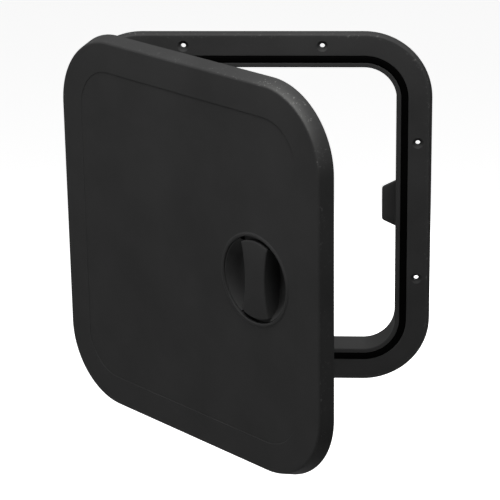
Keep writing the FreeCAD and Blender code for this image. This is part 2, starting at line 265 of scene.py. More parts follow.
@dataclass(frozen=True)
class RoundedPath:
    """Rounded rectangle in the XZ plane: corner centres stay put while the offset from them changes."""

    half_x: float
    half_z: float
    radius: float

    def length(self) -> float:
        """Length of the line at the outer radius."""
        return 4 * (self.half_x + self.half_z) + 2 * math.pi * self.radius

    def stations(self, along: np.ndarray) -> tuple[np.ndarray, np.ndarray]:
        """Corner-centre point and outward normal at each distance along the path.

        The path starts at the middle of the right side and goes up: on a straight the centre moves and
        the normal holds, and on a corner the normal turns and the centre holds.

        Args:
            along: Distances along the outer line, from 0 to its length.

        Returns:
            Centres and normals, each an array of (x, z).
        """
        quarter = math.pi / 2 * self.radius
        spans = np.array([self.half_z, quarter, 2 * self.half_x, quarter, 2 * self.half_z, quarter,
                          2 * self.half_x, quarter, self.half_z])
        ends = np.concatenate([[0], np.cumsum(spans)])
        x, z = self.half_x, self.half_z
        centre_x = np.interp(along, ends, [x, x, x, -x, -x, -x, -x, x, x, x])
        centre_z = np.interp(along, ends, [0, z, z, z, z, -z, -z, -z, -z, 0])
        turn = np.interp(along, ends, np.array([0, 0, 1, 1, 2, 2, 3, 3, 4, 4]) * math.pi / 2)
        return np.stack([centre_x, centre_z], -1), np.stack([np.cos(turn), np.sin(turn)], -1)

    def spread(self, on_corner: int, on_side: int) -> np.ndarray:
        """Distances along the path, evenly spaced on each corner and each side.

        Args:
            on_corner: Spans on each corner.
            on_side: Spans on each side.

        Returns:
            Distances in rising order, without the end point.
        """
        quarter = math.pi / 2 * self.radius
        spans = [(self.half_z, on_side // 2), (quarter, on_corner), (2 * self.half_x, on_side),
                 (quarter, on_corner), (2 * self.half_z, on_side), (quarter, on_corner),
                 (2 * self.half_x, on_side), (quarter, on_corner), (self.half_z, on_side // 2)]
        starts = np.cumsum([0.0] + [s for s, _ in spans])
        pieces = [start + np.arange(n) * span / n for start, (span, n) in zip(starts, spans)]
        return np.concatenate(pieces)

    def carry(self, section: np.ndarray, along: np.ndarray) -> np.ndarray:
        """Carry a section along the path: centre + (radius - offset) x normal, at the section's depth.

        Args:
            section: Array of (offset inwards from the outer line, y).
            along: Distances along the path.

        Returns:
            Array of stations x section points x 3.
        """
        centres, normals = self.stations(along)
        reach = self.radius - section[None, :, 0]
        grid = np.empty((len(along), len(section), 3))
        grid[..., 0] = centres[:, None, 0] + reach * normals[:, None, 0]
        grid[..., 1] = section[None, :, 1]
        grid[..., 2] = centres[:, None, 1] + reach * normals[:, None, 1]
        return grid


FRAME_PATH = RoundedPath(SIZES.width / 2 - SIZES.corner, SIZES.height / 2 - SIZES.corner, SIZES.corner)
LID_PATH = RoundedPath(FRAME_PATH.half_x, FRAME_PATH.half_z, SIZES.corner + SIZES.lid_overlap)


def spun(section: np.ndarray, angles: np.ndarray, x: float, z: float) -> np.ndarray:
    """Spin a section about a line along Y: radius x (cos, sin) of each angle round the given centre.

    Args:
        section: Array of (radius, y).
        angles: Angles in radians.
        x: The line's x.
        z: The line's z.

    Returns:
        Array of angles x section points x 3.
    """
    grid = np.empty((len(angles), len(section), 3))
    grid[..., 0] = x + section[None, :, 0] * np.cos(angles)[:, None]
    grid[..., 1] = section[None, :, 1]
    grid[..., 2] = z + section[None, :, 0] * np.sin(angles)[:, None]
    return grid


def round_angles(count: int) -> np.ndarray:
    """Evenly spaced angles over a full turn."""
    return np.arange(count) * 2 * math.pi / count


def outline_normals(outline: np.ndarray) -> np.ndarray:
    """Unit normals of a closed plane outline, pointing to the right of its direction.

    Args:
        outline: Array of (a, b) points.

    Returns:
        Array of unit normals.
    """
    along = np.roll(outline, -1, 0) - np.roll(outline, 1, 0)
    normals = np.stack([along[:, 1], -along[:, 0]], -1)
    return normals / np.linalg.norm(normals, axis=1, keepdims=True)


def pillow_prism(outline: np.ndarray, low: float, high: float, ease: float, steps: int = 4) -> np.ndarray:
    """Prism over a plane outline whose two ends are eased over: each end draws in by a quarter circle.

    Rows run round the outline and columns from the middle of one end to the middle of the other. The
    outline is drawn in along its normals by ease x (1 - sin) while the height runs over ease x (1 - cos).

    Args:
        outline: Array of (a, b) points, anticlockwise.
        low: Height of the first end.
        high: Height of the second end.
        ease: Radius of the rounded edges.
        steps: Spans of each rounded edge.

    Returns:
        Array of outline points x columns x (a, b, height).
    """
    normals = outline_normals(outline)
    turn = np.linspace(0, math.pi / 2, steps + 1)
    inset = np.concatenate([ease * (1 - np.sin(turn)), ease * (1 - np.sin(turn[::-1]))])
    height = np.concatenate([low + ease * (1 - np.cos(turn)), high - ease * (1 - np.cos(turn[::-1]))])
    ring = outline[:, None] - normals[:, None] * inset[None, :, None]
    middle = outline.mean(0)
    cap = np.array([0.0, 0.5])[None, :, None]
    first = middle + (ring[:, :1] - middle) * cap
    last = middle + (ring[:, -1:] - middle) * cap[:, ::-1]
    plan = np.concatenate([first, ring, last], 1)
    levels = np.concatenate([[low, low], height, [high, high]])
    return np.concatenate([plan, np.broadcast_to(levels[None, :, None], plan.shape[:2] + (1,))], 2)


class ShaderGroups:
    """Shared shader effects, each made once as a node group."""

    @staticmethod
    def make(name: str, inputs: dict[str, float], outputs: list[str]) -> bpy.types.NodeTree:
        """Start a node group with a vector input, named number inputs and named number outputs.

        Args:
            name: The group's name.
            inputs: Number inputs and their usual values.
            outputs: Number outputs.

        Returns:
            The group's tree, with its input and output nodes.
        """
        tree = bpy.data.node_groups.new(name, "ShaderNodeTree")
        tree.interface.new_socket("Place", in_out="INPUT", socket_type="NodeSocketVector")
        for label, value in inputs.items():
            socket = tree.interface.new_socket(label, in_out="INPUT", socket_type="NodeSocketFloat")
            socket.default_value = value
        for label in outputs:
            tree.interface.new_socket(label, in_out="OUTPUT", socket_type="NodeSocketFloat")
        tree.nodes.new("NodeGroupInput").name = "in"
        tree.nodes.new("NodeGroupOutput").name = "out"
        return tree

    @staticmethod
    def noise(tree: bpy.types.NodeTree, scale: float, detail: float, roughness: float) -> bpy.types.Node:
        """Add a noise texture that reads the group's place.

        Args:
            tree: The group's tree.
            scale: Noise scale, per metre.
            detail: Noise detail.
            roughness: Noise roughness.

        Returns:
            The noise node.
        """
        node = tree.nodes.new("ShaderNodeTexNoise")
        node.inputs["Scale"].default_value = scale
        node.inputs["Detail"].default_value = detail
        node.inputs["Roughness"].default_value = roughness
        tree.links.new(tree.nodes["in"].outputs["Place"], node.inputs["Vector"])
        return node

    @staticmethod
    def spread(tree: bpy.types.NodeTree, value: bpy.types.NodeSocket, low: float, high: float,
               to_low: float, to_high: float) -> bpy.types.NodeSocket:
        """Map a value from one range to another, held at the ends.

        Args:
            tree: The tree to add to.
            value: The value's socket.
            low: Start of the first range.
            high: End of the first range.
            to_low: Start of the second range.
            to_high: End of the second range.

        Returns:
            The mapped value's socket.
        """
        node = tree.nodes.new("ShaderNodeMapRange")
        node.inputs["From Min"].default_value = low
        node.inputs["From Max"].default_value = high
        node.inputs["To Min"].default_value = to_low
        node.inputs["To Max"].default_value = to_high
        tree.links.new(value, node.inputs["Value"])
        return node.outputs["Result"]

    @staticmethod
    def math(tree: bpy.types.NodeTree, operation: str,
             *values: "bpy.types.NodeSocket | float") -> bpy.types.NodeSocket:
        """Add a sum, product or the like of sockets and numbers.

        Args:
            tree: The tree to add to.
            operation: The math node's operation.
            values: One or two sockets or numbers.

        Returns:
            The result's socket.
        """
        node = tree.nodes.new("ShaderNodeMath")
        node.operation = operation
        for i, value in enumerate(values):
            if isinstance(value, (int, float)):
                node.inputs[i].default_value = value
            else:
                tree.links.new(value, node.inputs[i])
        return node.outputs[0]

    @classmethod
    def mould_grain(cls) -> bpy.types.NodeTree:
        """Spark-eroded mould grain: fine pebbled height, and slow blotches where the moulding flowed.

        The height is fine noise plus 0.6 of a coarser noise. The flow runs from -0.5 to 0.5.

        Returns:
            The group's tree.
        """
        tree = cls.make("mould_grain", {"Grain": 1.0, "Flow": 1.0}, ["Height", "Flow"])
        fine = cls.noise(tree, 2600.0, 3.0, 0.6)
        pebble = cls.noise(tree, 900.0, 2.0, 0.5)
        slow = cls.noise(tree, 14.0, 3.0, 0.55)
        coarse = cls.math(tree, "MULTIPLY", pebble.outputs["Fac"], 0.6)
        height = cls.math(tree, "ADD", fine.outputs["Fac"], coarse)
        height = cls.math(tree, "MULTIPLY", height, tree.nodes["in"].outputs["Grain"])
        flow = cls.spread(tree, slow.outputs["Fac"], 0.3, 0.7, -0.5, 0.5)
        flow = cls.math(tree, "MULTIPLY", flow, tree.nodes["in"].outputs["Flow"])
        tree.links.new(height, tree.nodes["out"].inputs["Height"])
        tree.links.new(flow, tree.nodes["out"].inputs["Flow"])
        return tree

    @classmethod
    def edge_scuff_and_highlight(cls) -> bpy.types.NodeTree:
        """Pale rubbed specks on exposed edges: sparse noise peaks, kept where the wear value is high.

        A pale wash, the wear value squared times its strength, lightens the most worn places. On rubbed
        edges it is faint, and on the lid's upper free corner it is strong and is a painted highlight.

        Returns:
            The group's tree.
        """
        tree = cls.make("edge_scuff_and_highlight", {"WearAndHighlight": 0.0, "Amount": 1.0, "Haze": 0.0}, ["Mask"])
        specks = cls.noise(tree, 330.0, 4.0, 0.7)
        patches = cls.noise(tree, 28.0, 2.0, 0.5)
        peaks = cls.spread(tree, specks.outputs["Fac"], 0.59, 0.70, 0.0, 1.0)
        where = cls.spread(tree, patches.outputs["Fac"], 0.34, 0.52, 0.0, 1.0)
        mask = cls.math(tree, "MULTIPLY", peaks, where)
        mask = cls.math(tree, "MULTIPLY", mask, tree.nodes["in"].outputs["WearAndHighlight"])
        mask = cls.math(tree, "MULTIPLY", mask, tree.nodes["in"].outputs["Amount"])
        # Pale wash over the most worn places. On the lid's upper free corner it is a painted highlight of
        # the top lamp.
        pale_wear_and_highlight = cls.math(tree, "POWER", tree.nodes["in"].outputs["WearAndHighlight"], 2.0)
        pale_wear_and_highlight = cls.math(tree, "MULTIPLY", pale_wear_and_highlight, tree.nodes["in"].outputs["Haze"])
        mask = cls.math(tree, "ADD", mask, pale_wear_and_highlight)
        tree.links.new(mask, tree.nodes["out"].inputs["Mask"])
        return tree


class MaterialBench:
    """Places nodes in one material."""

    def __init__(self, name: str) -> None:
        """Start an empty node material with a Principled shader.

        Args:
            name: The material's name.
        """
        self.material = bpy.data.materials.new(name)
        self.material.use_nodes = True
        self.tree = self.material.node_tree
        self.shader = self.tree.nodes["Principled BSDF"]
        self.place = self.tree.nodes.new("ShaderNodeTexCoord").outputs["Object"]

    def group(self, tree: bpy.types.NodeTree, **values: float) -> bpy.types.Node:
        """Place a shared group that reads the object's own place.

        Args:
            tree: The group's tree.
            values: Values for its inputs.

        Returns:
            The group node.
        """
        node = self.tree.nodes.new("ShaderNodeGroup")
        node.node_tree = tree
        self.tree.links.new(self.place, node.inputs["Place"])
        for label, value in values.items():
            node.inputs[label].default_value = value
        return node

    def bump(self, height: bpy.types.NodeSocket, strength: float, distance: float) -> None:
        """Feed a height through a Bump node to the shader's normal.

        Args:
            height: The height's socket.
            strength: Share of the bump that shows.
            distance: Depth of a height of 1, in metres.
        """
        node = self.tree.nodes.new("ShaderNodeBump")
        node.inputs["Strength"].default_value = strength
        node.inputs["Distance"].default_value = distance
        self.tree.links.new(height, node.inputs["Height"])
        self.tree.links.new(node.outputs["Normal"], self.shader.inputs["Normal"])

    def ramp(self, value: bpy.types.NodeSocket, first: tuple[float, float, float],
             second: tuple[float, float, float]) -> bpy.types.NodeSocket:
        """Blend two colours by a value.

        Args:
            value: Socket of the blend, from 0 to 1.
            first: Colour at 0.
            second: Colour at 1.

        Returns:
            The colour's socket.
        """
        node = self.tree.nodes.new("ShaderNodeMix")
        node.data_type = "RGBA"
        node.inputs["A"].default_value = (*first, 1.0)
        node.inputs["B"].default_value = (*second, 1.0)
        self.tree.links.new(value, node.inputs["Factor"])
        return node.outputs["Result"]


@dataclass(frozen=True)
class PlasticFinish:
    """Satin black moulded plastic with fine grain and rubbed edges."""

    name: str
    colour: tuple[float, float, float] = (0.025, 0.025, 0.025)
    # Pale colour of the scuffs, also used for the painted highlight on the lid's upper free corner.
    rubbed_and_highlight: tuple[float, float, float] = (0.30, 0.30, 0.29)
    roughness: float = 0.72
    shine: float = 0.02
    grain: float = 1.0
    scuffs: float = 0.6
    # Strength of the pale wash. On the lid it paints a highlight at the upper free corner.
    pale_wear_and_highlight: float = 0.02
    blotch: float = 1.25
    unevenness: float = 0.03
    rubbed_roughness: float = 0.25
    bump_strength: float = 0.35
    bump_depth: float = 0.00006

    def material(self, groups: dict[str, bpy.types.NodeTree]) -> bpy.types.Material:
        """Make the material.

        Args:
            groups: Shared node groups by name.

        Returns:
            The material.
        """
        bench = MaterialBench(self.name)
        grain = bench.group(groups["mould_grain"], Grain=self.grain, Flow=1.0)
        scuff_and_highlight = bench.group(groups["edge_scuff_and_highlight"], Amount=self.scuffs, Haze=self.pale_wear_and_highlight)
        # Per-point wear, which on the lid also peaks at the corner where a highlight is painted.
        wear_and_highlight = bench.tree.nodes.new("ShaderNodeAttribute")
        wear_and_highlight.attribute_name = "wear_and_highlight"
        bench.tree.links.new(wear_and_highlight.outputs["Fac"], scuff_and_highlight.inputs["WearAndHighlight"])
        lighter = tuple(self.blotch * c for c in self.colour)
        shade = ShaderGroups.spread(bench.tree, grain.outputs["Flow"], -0.5, 0.5, 0.0, 1.0)
        base = bench.ramp(shade, self.colour, lighter)
        # The pale colour is mixed in by the scuffs and by the pale wash, which paints the lid corner's
        # highlight.
        mix = bench.tree.nodes.new("ShaderNodeMix")
        mix.data_type = "RGBA"
        mix.inputs["B"].default_value = (*self.rubbed_and_highlight, 1.0)
        bench.tree.links.new(base, mix.inputs["A"])
        bench.tree.links.new(scuff_and_highlight.outputs["Mask"], mix.inputs["Factor"])
        bench.tree.links.new(mix.outputs["Result"], bench.shader.inputs["Base Color"])
        rough = ShaderGroups.spread(bench.tree, grain.outputs["Flow"], -0.5, 0.5,
                                    self.roughness - self.unevenness, self.roughness + self.unevenness)
        dulled = ShaderGroups.math(bench.tree, "MULTIPLY", scuff_and_highlight.outputs["Mask"], self.rubbed_roughness)
        rough = ShaderGroups.math(bench.tree, "ADD", rough, dulled)
        bench.tree.links.new(rough, bench.shader.inputs["Roughness"])
        bench.shader.inputs["Specular IOR Level"].default_value = self.shine
        bench.bump(grain.outputs["Height"], self.bump_strength, self.bump_depth)
        return bench.material


@dataclass(frozen=True)
class RubberFinish:
    """Dull black seal rubber, nearly without shine."""

    name: str
    colour: tuple[float, float, float] = (0.0006, 0.0006, 0.0006)
    roughness: float = 0.9
    shine: float = 0.01
    blotch: float = 1.6
    bump_strength: float = 0.3
    bump_depth: float = 0.00005

    def material(self, groups: dict[str, bpy.types.NodeTree]) -> bpy.types.Material:
        """Make the material.

        Args:
            groups: Shared node groups by name.

        Returns:
            The material.
        """
        bench = MaterialBench(self.name)
        grain = bench.group(groups["mould_grain"], Grain=1.0, Flow=1.0)
        shade = ShaderGroups.spread(bench.tree, grain.outputs["Flow"], -0.5, 0.5, 0.0, 1.0)
        colour = bench.ramp(shade, self.colour, tuple(self.blotch * c for c in self.colour))
        bench.tree.links.new(colour, bench.shader.inputs["Base Color"])
        bench.shader.inputs["Roughness"].default_value = self.roughness
        bench.shader.inputs["Specular IOR Level"].default_value = self.shine
        bench.bump(grain.outputs["Height"], self.bump_strength, self.bump_depth)
        return bench.material


@dataclass(frozen=True)
class SteelFinish:
    """Plain steel with a drawn, slightly uneven shine."""

    name: str
    colour: tuple[float, float, float] = (0.56, 0.55, 0.53)
    roughness: float = 0.32
    blotch: float = 0.85
    smoother: float = 0.06
    rougher: float = 0.08
    grain: float = 0.6
    bump_strength: float = 0.2
    bump_depth: float = 0.00003

    def material(self, groups: dict[str, bpy.types.NodeTree]) -> bpy.types.Material:
        """Make the material.

        Args:
            groups: Shared node groups by name.

        Returns:
            The material.
        """
        bench = MaterialBench(self.name)
        grain = bench.group(groups["mould_grain"], Grain=self.grain, Flow=1.0)
        shade = ShaderGroups.spread(bench.tree, grain.outputs["Flow"], -0.5, 0.5, 0.0, 1.0)
        colour = bench.ramp(shade, tuple(self.blotch * c for c in self.colour), self.colour)
        bench.tree.links.new(colour, bench.shader.inputs["Base Color"])
        bench.shader.inputs["Metallic"].default_value = 1.0
        rough = ShaderGroups.spread(bench.tree, grain.outputs["Flow"], -0.5, 0.5,
                                    self.roughness - self.smoother, self.roughness + self.rougher)
        bench.tree.links.new(rough, bench.shader.inputs["Roughness"])
        bench.bump(grain.outputs["Height"], self.bump_strength, self.bump_depth)
        return bench.material


class Finishes:
    """All materials of the hatch, by slot."""

    def __init__(self) -> None:
        """Make the shared groups and every material."""
        groups = {"mould_grain": ShaderGroups.mould_grain(), "edge_scuff_and_highlight": ShaderGroups.edge_scuff_and_highlight()}
        filled_black = (0.034, 0.034, 0.034)
        spring_grey = (0.42, 0.42, 0.42)
        makers = {
            Slot.FRAME: PlasticFinish("frame_satin_black", scuffs=0.35),
            # The lid's strong pale wash paints a highlight on its upper free corner.
            Slot.LID: PlasticFinish("lid_satin_black", scuffs=1.3, pale_wear_and_highlight=0.13),
            Slot.LATCH: PlasticFinish("latch_satin_black", scuffs=0.3),
            Slot.PAWL: PlasticFinish("pawl_filled_black", colour=filled_black, roughness=0.55, scuffs=0.0),
            Slot.SEAL: RubberFinish("seal_dull_rubber"),
            Slot.PIN: SteelFinish("pin_drawn_steel"),
            Slot.RING: SteelFinish("ring_spring_steel", colour=spring_grey, roughness=0.4),
        }
        self.materials = {slot: maker.material(groups) for slot, maker in makers.items()}

    def dress(self, piece: bpy.types.Object, body: Body, slot: Slot, *nodes: str) -> None:
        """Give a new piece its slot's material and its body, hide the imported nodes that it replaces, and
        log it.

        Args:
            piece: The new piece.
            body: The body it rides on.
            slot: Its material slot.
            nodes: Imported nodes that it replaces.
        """
        piece.data.materials.clear()
        piece.data.materials.append(self.materials[slot])
        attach(piece, body.value)
        if nodes:
            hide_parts(*nodes)
        log.info("%s: %d faces on %s", piece.name, len(piece.data.polygons), body.value)

    def repaint(self, node: str, slot: Slot) -> None:
        """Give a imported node's object a finished material.

        Args:
            node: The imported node's name.
            slot: The slot whose material it gets.
        """
        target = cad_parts[node]
        for place in target.material_slots:
            place.material = self.materials[slot]
        log.info("%s: packed node, %s", node, slot.value)


@dataclass
class HatchFrame:
    """Flange, neck, strike tab and hinge lugs."""

    edge_inset: float = 2.7
    edge_support: float = 4.0
    edge_wear: float = 2.5
    groove_offset: float = 24.3
    groove_width: float = 7.1
    groove_depth: float = 4.0
    lip_width: float = 4.6
    neck_wall: float = 3.5
    neck_depth: float = 29.0
    screw_edge: float = 14.3
    screw_pitch_x: float = 69.5
    screw_pitch_z: float = 72.7
    screw_hole: float = 5.0
    screw_sink: float = 10.6
    sink_ease: float = 0.35
    cut_over: float = 2.0
    tab_reach: float = 14.0
    tab_base: float = 48.5
    tab_tip: float = 34.7
    tab_corner: float = 4.0
    tab_root_round: float = 1.5
    tab_ease: float = 0.7
    tab_front: float = 19.0
    tab_thick: float = 5.0

    def section(self) -> np.ndarray:
        """Closed section of flange and neck, with eased corners.

        Returns:
            Array of (offset inwards from the outer edge, y).
        """
        front = -SIZES.flange
        floor = front + self.groove_depth
        groove_end = self.groove_offset + self.groove_width
        opening = groove_end + self.lip_width
        outside = opening - self.neck_wall
        return rounded_section([
            (0.0, 0.0, 0.4),
            (self.edge_inset, front, 1.8),
            (self.edge_inset + self.edge_support, front, 0.0),
            (self.groove_offset, front, 0.9),
            (self.groove_offset, floor, 0.3),
            (groove_end, floor, 0.3),
            (groove_end, front, 0.7),
            (opening, front, 1.1),
            (opening, self.neck_depth, 0.8),
            (outside, self.neck_depth, 0.8),
            (outside, 0.0, 0.5),
        ])

    def screw_places(self) -> list[tuple[float, float]]:
        """Centres of the screw holes, two on each side of the flange.

        Returns:
            (x, z) of each hole.
        """
        side_x = SIZES.width / 2 - self.screw_edge
        side_z = SIZES.height / 2 - self.screw_edge
        ends = [(a * self.screw_pitch_x, s * side_z) for s in (-1, 1) for a in (-1, 1)]
        return ends + [(s * side_x, a * self.screw_pitch_z) for s in (-1, 1) for a in (-1, 1)]

    def screw_cutter(self) -> bpy.types.Object:
        """Countersunk plugs that open the screw holes: a spun section for each hole.

        Returns:
            One object with all the plugs.
        """
        front = -SIZES.flange
        hole, sink = self.screw_hole / 2, self.screw_sink / 2
        mouth = sink + self.sink_ease
        section = np.array([
            (0.0, front - self.cut_over),
            (mouth, front - self.cut_over),
            (mouth, front),
            (sink, front + self.sink_ease),
            (hole, front + sink - hole),
            (hole, self.cut_over),
            (0.0, self.cut_over),
        ])
        surface = Surface()
        for x, z in self.screw_places():
            surface.add(spun(section, round_angles(40), x, z), True, False)
        return surface.build("screw_cutter", False)

    def build_body(self, finishes: Finishes) -> None:
        """Carry the section round the frame's outline and open the screw holes.

        Wear is highest on the front edge and falls off as exp(-(distance / edge_wear) squared).

        Args:
            finishes: The hatch's materials.
        """
        section = self.section()
        surface = Surface()
        near_front = section[:, 1] < -SIZES.flange + 3.0
        on_edge = np.exp(-((section[:, 0] - self.edge_inset) / self.edge_wear) ** 2) * near_front
        surface.add(FRAME_PATH.carry(section, FRAME_PATH.spread(28, 12)), True, True, on_edge[None])
        piece = surface.build("frame_moulding", False)
        cut_away(piece, self.screw_cutter())
        finishes.dress(piece, Body.FRAME, Slot.FRAME, "frame")

    def build_tab(self, finishes: Finishes) -> None:
        """Make the strike tab: a trapezoid plate with rounded free corners, rooted in the neck's wall.

        Args:
            finishes: The hatch's materials.
        """
        base = SIZES.width / 2 - self.groove_offset - self.groove_width - self.lip_width
        root, tip = base + self.neck_wall / 2, base - self.tab_reach
        outline = rounded_section([
            (root, self.tab_base / 2, 0.0),
            (base, self.tab_base / 2, self.tab_root_round),
            (tip, self.tab_tip / 2, self.tab_corner),
            (tip, -self.tab_tip / 2, self.tab_corner),
            (base, -self.tab_base / 2, self.tab_root_round),
            (root, -self.tab_base / 2, 0.0),
        ])
        back = self.tab_front + self.tab_thick
        grid = pillow_prism(outline, self.tab_front, back, self.tab_ease)[..., [0, 2, 1]]
        surface = Surface()
        surface.add(grid, True, False)
        finishes.dress(surface.build("strike_tab", False), Body.FRAME, Slot.FRAME)


@dataclass
class SealRing:
    """Rubber ring in the flange's groove, round-topped."""

    offset: float = 24.4
    width: float = 6.9
    floor: float = -3.0
    top: float = -7.5
    crown: float = 2.6
    foot_round: float = 0.2

    def build(self, finishes: Finishes) -> None:
        """Carry the crowned section round the frame's outline.

        Args:
            finishes: The hatch's materials.
        """
        end = self.offset + self.width
        section = rounded_section([
            (self.offset, self.floor, self.foot_round),
            (self.offset, self.top, self.crown),
            (end, self.top, self.crown),
            (end, self.floor, self.foot_round),
        ])
        surface = Surface()
        surface.add(FRAME_PATH.carry(section, FRAME_PATH.spread(28, 12)), True, True)
        finishes.dress(surface.build("seal_ring", False), Body.FRAME, Slot.SEAL, "seal")


@dataclass
class Hinges:
    """Barrels of the two hinges: lugs on the frame, ears on the lid."""

    half_spread: float = 100.0
    barrel: float = 2.75
    lug_length: float = 20.0
    ear_length: float = 9.7
    gap: float = 0.6
    skin: float = 3.0
    edge_ease: float = 0.25
    web_bury: float = 2.2
    web_front: float = 0.9
    foot_start: float = 0.9
    foot_ease: float = 0.4
    foot_rise: float = 3.0
    notch_back: float = 2.0

    def heights(self) -> tuple[float, float]:
        """Mid heights of the hinges."""
        return (-self.half_spread, self.half_spread)

    def arc(self, radius: float, start: float, end: float, count: int = 14) -> np.ndarray:
        """Points on a circle about the hinge line: centre + radius x (cos, sin) of each angle.

        Args:
            radius: The circle's radius.
            start: First angle, in degrees.
            end: Last angle, in degrees.
            count: Number of points.

        Returns:
            Array of (x, y) points.
        """
        angles = np.radians(np.linspace(start, end, count))
        circle = radius * np.stack([np.cos(angles), np.sin(angles)], -1)
        return circle + np.array([SIZES.hinge_x, SIZES.hinge_y])

    def lug_outline(self) -> np.ndarray:
        """Plan of a frame lug: a half barrel with a web that runs into the flange's edge.

        Returns:
            Array of (x, y) points.
        """
        flange_x = -SIZES.width / 2 + self.web_bury
        web = np.array([
            (flange_x, -SIZES.flange + self.web_front),
            (flange_x, SIZES.hinge_y + self.barrel),
        ])
        return np.concatenate([self.arc(self.barrel, 90, 305), web])

    def ear_outline(self) -> np.ndarray:
        """Plan of a lid ear: a half barrel with a foot that runs into the lid's front skin.

        Returns:
            Array of (x, y) points.
        """
        front = SIZES.lid_front + self.skin / 2
        foot = np.array([
            (SIZES.hinge_x + self.barrel, front),
            (SIZES.hinge_x + self.foot_start, front),
            (SIZES.hinge_x - self.barrel + self.foot_ease, SIZES.hinge_y - self.foot_rise),
        ])
        return np.concatenate([foot, self.arc(self.barrel, -180, -360)])

    def notch_outline(self) -> np.ndarray:
        """Plan of the notch in the lid's rim: a half round that opens backwards.

        Returns:
            Array of (x, y) points.
        """
        clear = self.barrel + self.gap
        back = np.array([
            (SIZES.hinge_x + clear, self.notch_back),
            (SIZES.hinge_x - 2 * clear, self.notch_back),
            (SIZES.hinge_x - 2 * clear, SIZES.hinge_y),
        ])
        return np.concatenate([back, self.arc(clear, 180, 360)])

    def notch_cutter(self) -> bpy.types.Object:
        """Solids that open the lid's rim round each frame lug.

        Returns:
            One object with both solids, swung with the lid.
        """
        half = self.lug_length / 2 + self.gap
        surface = Surface()
        for height in self.heights():
            surface.add(pillow_prism(self.notch_outline(), height - half, height + half, 0.0), True, False)
        return surface.build("notch_cutter", True)

    def build(self, finishes: Finishes) -> None:
        """Make the lugs and the ears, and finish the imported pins.

        Args:
            finishes: The hatch's materials.
        """
        lugs, ears = Surface(), Surface()
        half = self.lug_length / 2
        near = half + self.gap
        far = near + self.ear_length
        for height in self.heights():
            lug = pillow_prism(self.lug_outline(), height - half, height + half, self.edge_ease, 2)
            lugs.add(lug, True, False)
            for low, high in ((-far, -near), (near, far)):
                ear = pillow_prism(self.ear_outline(), height + low, height + high, self.edge_ease, 2)
                ears.add(ear, True, False)
        finishes.dress(lugs.build("hinge_lugs", False), Body.FRAME, Slot.FRAME)
        finishes.dress(ears.build("hinge_ears", True), Body.LID, Slot.LID)
        for node in ("hinge_pin_lower", "hinge_pin_upper"):
            finishes.repaint(node, Slot.PIN)


